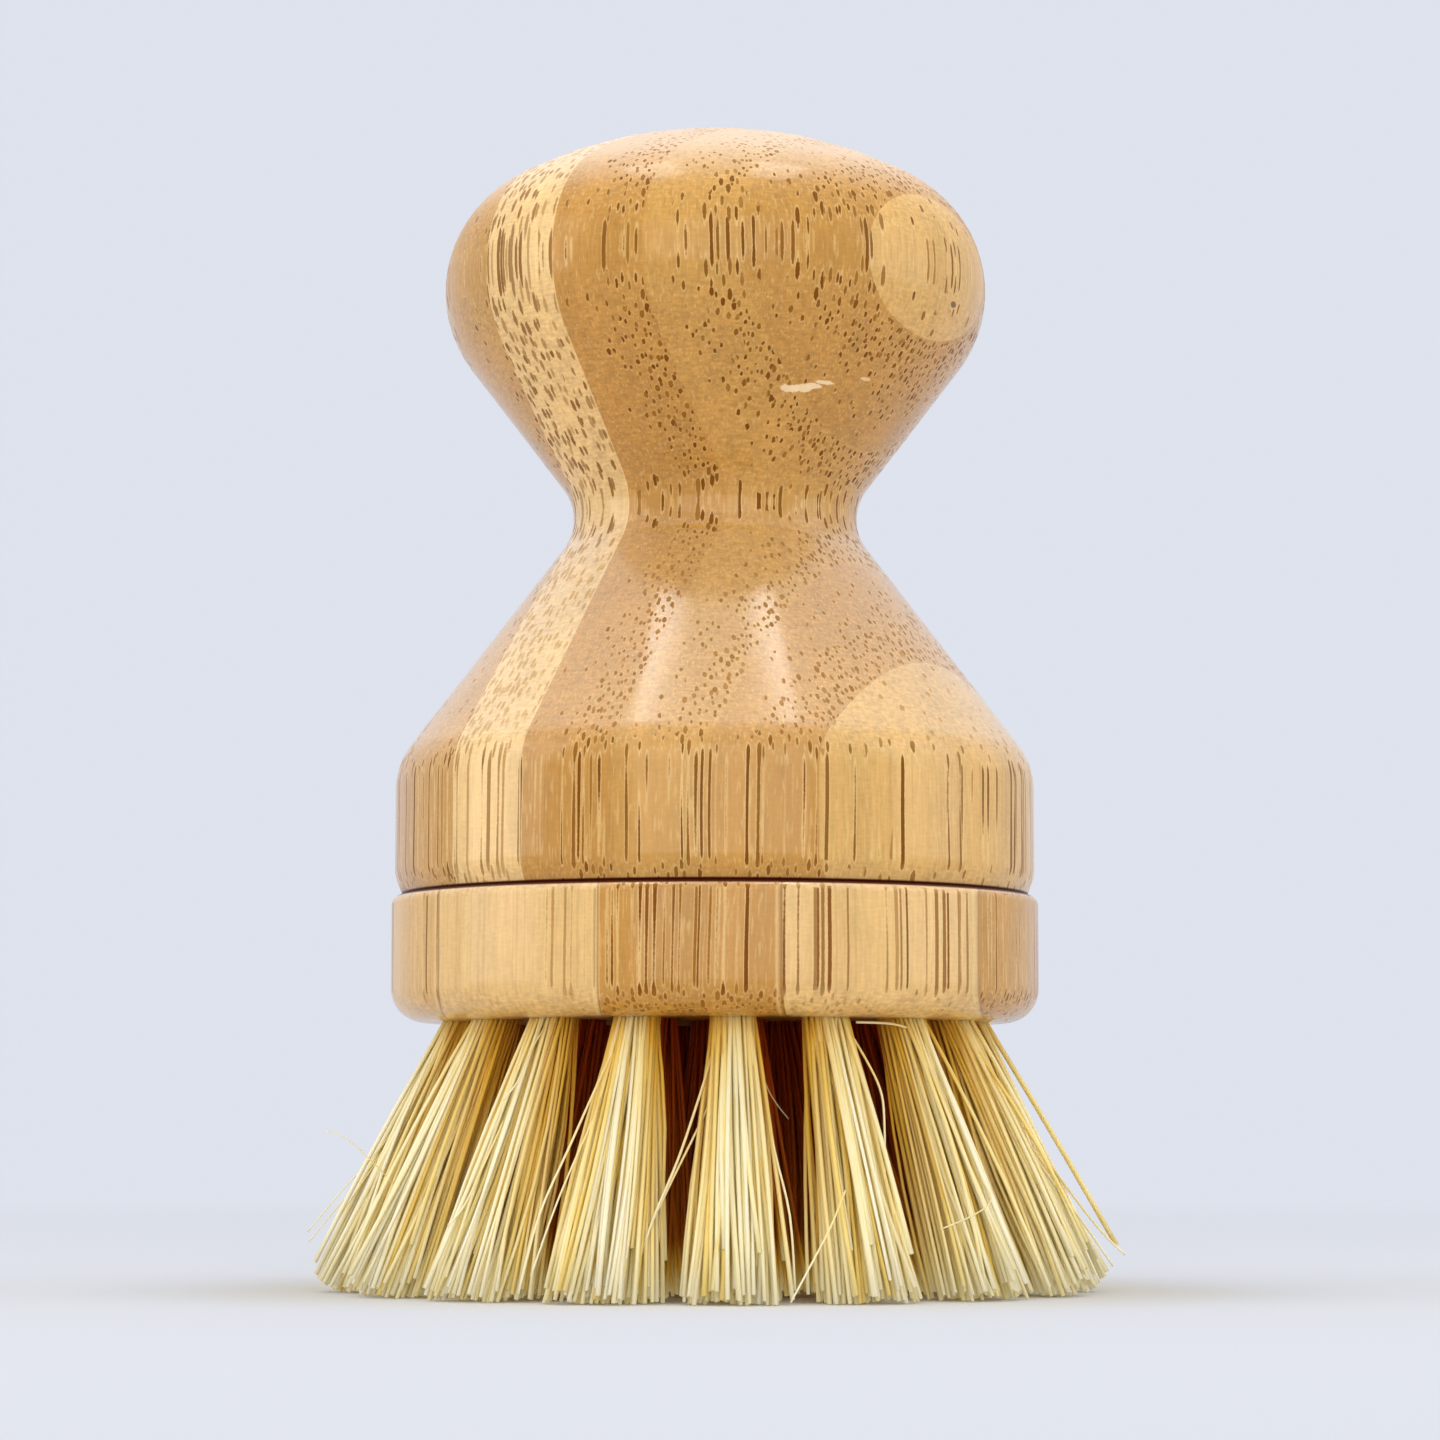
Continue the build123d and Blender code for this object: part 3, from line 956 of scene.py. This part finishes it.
steel, output, start = new_finish("anchor_steel")
place = start.node("ShaderNodeTexCoord", output="Object")
drawn = place.noise(6000.0, 2.0)
steel_colour = drawn.ramp(((0.3, colour(0.42, 0.41, 0.39)), (0.7, colour(0.62, 0.61, 0.59))))
shader = start.node(
    "ShaderNodeBsdfPrincipled",
    {"Base Color": steel_colour, "Roughness": drawn * 0.3 + 0.2, "Metallic": 1.0},
)
steel.node_tree.links.new(shader.socket, output.inputs["Surface"])

for node, finish in (("joint_dowel", beech), ("tuft_anchors", steel)):
    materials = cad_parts[node].data.materials
    materials.clear()
    materials.append(finish)
print("CAD nodes kept:", "joint_dowel", "tuft_anchors")

# %% [markdown]
# ## Stage and light
# The brush stands on a plain pale floor that fades into an even background, as in a small product
# studio. The floor close by is a real surface, so it takes the soft shadow; further off, what the
# camera sees is the background colour itself. From below it isn't there, so the tips can be
# looked at, and under the brush it lets soft light up like a light table, or they would be black.
# Two soft boxes hang above, two stand at the sides and a wide one behind the camera, and the
# world fills the rest.

# %% Stage
BACKGROUND = colour(0.735, 0.765, 0.845)

# Distances from the middle in m: the end of the paper's near tone, which is a painted shade round
# the brush, the lit opening under the brush, where the floor starts to fade into the background,
# and its edge
NEAR_END, OPENING_END, FADE_START, FLOOR_RADIUS = 0.034, 0.04, 0.1, 4.0

# Share of the soft light that the opening lets up
OPENING_SHARE = 0.7

# Strengths of the world: its even light, what it adds from above, and what gloss sees more there
FILL, FILL_ABOVE, GLOSS_ABOVE = 0.5, 0.35, 2.6

# What the camera sees, directly, in a reflection or through glass; all else is light
SEEN = ("Camera", "Glossy", "Transmission")


def ray_kinds(start, kinds):
    """1 for rays of these kinds and 0 for others."""
    return sum(start.node("ShaderNodeLightPath", output=f"Is {kind} Ray") for kind in kinds).clamp()


bpy.ops.object.select_all(action="DESELECT")
bpy.ops.mesh.primitive_circle_add(vertices=96, radius=FLOOR_RADIUS, fill_type="NGON")
floor = bpy.context.object
floor.name = floor.data.name = "floor"
floor_material, output, start = new_finish("floor")
place = start.node("ShaderNodeTexCoord", output="Object")
distance = start.node("ShaderNodeVectorMath", {0: place}, "Value", operation="LENGTH")
seen = ray_kinds(start, SEEN)
far = ((distance - FADE_START) * 3.0).clamp()
below = start.node("ShaderNodeNewGeometry", output="Backfacing")
# Close round the brush the paper is painted greyer and a little darker: painted shade
outer_zone = ((distance - NEAR_END) * 60.0).clamp()
paper_colour = outer_zone.ramp(((0.0, colour(0.685, 0.70, 0.72)), (1.0, colour(0.665, 0.71, 0.81))))
# Light rays see a warmer paper than the camera does: a painted warm bounce of light up onto the fibres
bounced = start.node("ShaderNodeRGB")
bounced.socket.default_value = colour(0.74, 0.70, 0.64)
paper = start.node("ShaderNodeBsdfDiffuse", {"Color": bounced.mix(paper_colour, seen)})
glow = start.node("ShaderNodeEmission", {"Color": BACKGROUND, "Strength": 1.0})
clear = start.node("ShaderNodeBsdfTransparent")
surface = start.node("ShaderNodeMixShader", {0: far * seen, 1: paper, 2: glow})
light_rays = ray_kinds(start, ("Diffuse", "Shadow"))
opening = ((OPENING_END - distance) * 100.0).clamp() * OPENING_SHARE
surface = start.node("ShaderNodeMixShader", {0: light_rays * opening, 1: surface, 2: clear})
surface = start.node("ShaderNodeMixShader", {0: below, 1: surface, 2: clear})
floor_material.node_tree.links.new(surface.socket, output.inputs["Surface"])
floor.data.materials.append(floor_material)
floor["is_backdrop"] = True

world = bpy.data.worlds.new("studio")
bpy.context.scene.world = world
world.use_nodes = True
world.node_tree.nodes.clear()
output = world.node_tree.nodes.new("ShaderNodeOutputWorld")
start = Shade(world.node_tree)
seen = ray_kinds(start, SEEN)
upward = start.node("ShaderNodeTexCoord", output="Generated").part(2)
ceiling = upward.clamp() ** 2.0
light = start.node(
    "ShaderNodeBackground", {"Color": colour(1.0, 0.95, 0.87), "Strength": ceiling * FILL_ABOVE + FILL}
)
glossy = start.node("ShaderNodeLightPath", output="Is Glossy Ray")
backdrop = start.node(
    "ShaderNodeBackground", {"Color": BACKGROUND, "Strength": ceiling * glossy * GLOSS_ABOVE + 1.0}
)
surface = start.node("ShaderNodeMixShader", {0: seen, 1: light, 2: backdrop})
world.node_tree.links.new(surface.socket, output.inputs["Surface"])
print("stage:", floor.name, "world:", world.name)

# %% Soft boxes
LAMP_TARGET = Vector((0, 0, 0.05))

# Name, place, width and height in m, and power in W
SOFT_BOXES = (
    ("above_left", (-0.195, -0.005, 0.85), (0.31, 0.155), 1.1),
    ("above_right", (0.195, -0.005, 0.85), (0.31, 0.155), 1.1),
    ("side_left", (-0.75, -0.15, 0.3), (0.5, 0.6), 1.35),
    ("side_right", (0.75, -0.1, 0.3), (0.5, 0.6), 1.0),
    ("front", (0.05, -1.2, 0.4), (1.5, 0.9), 5.7),
)
for name, position, (width, length), power in SOFT_BOXES:
    lamp = bpy.data.objects.new(name, bpy.data.lights.new(name, "AREA"))
    lamp.data.shape = "RECTANGLE"
    lamp.data.size, lamp.data.size_y = width, length
    lamp.data.energy = power
    lamp.location = position
    aim = LAMP_TARGET - lamp.location
    lamp.rotation_euler = aim.to_track_quat("-Z", "Y").to_euler()
    bpy.context.collection.objects.link(lamp)
print("soft boxes:", len(SOFT_BOXES))

# %% [markdown]
# ## Finish
# The box of the dressed brush is printed beside the box of the CAD model.

# %% Finish
dressed_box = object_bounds()
sizes = {"cad": [list(corner) for corner in cad_box], "dressed": [list(corner) for corner in dressed_box]}
for name, box in sizes.items():
    print(name, "box in mm:", [[round(v / MM, 1) for v in corner] for corner in box])
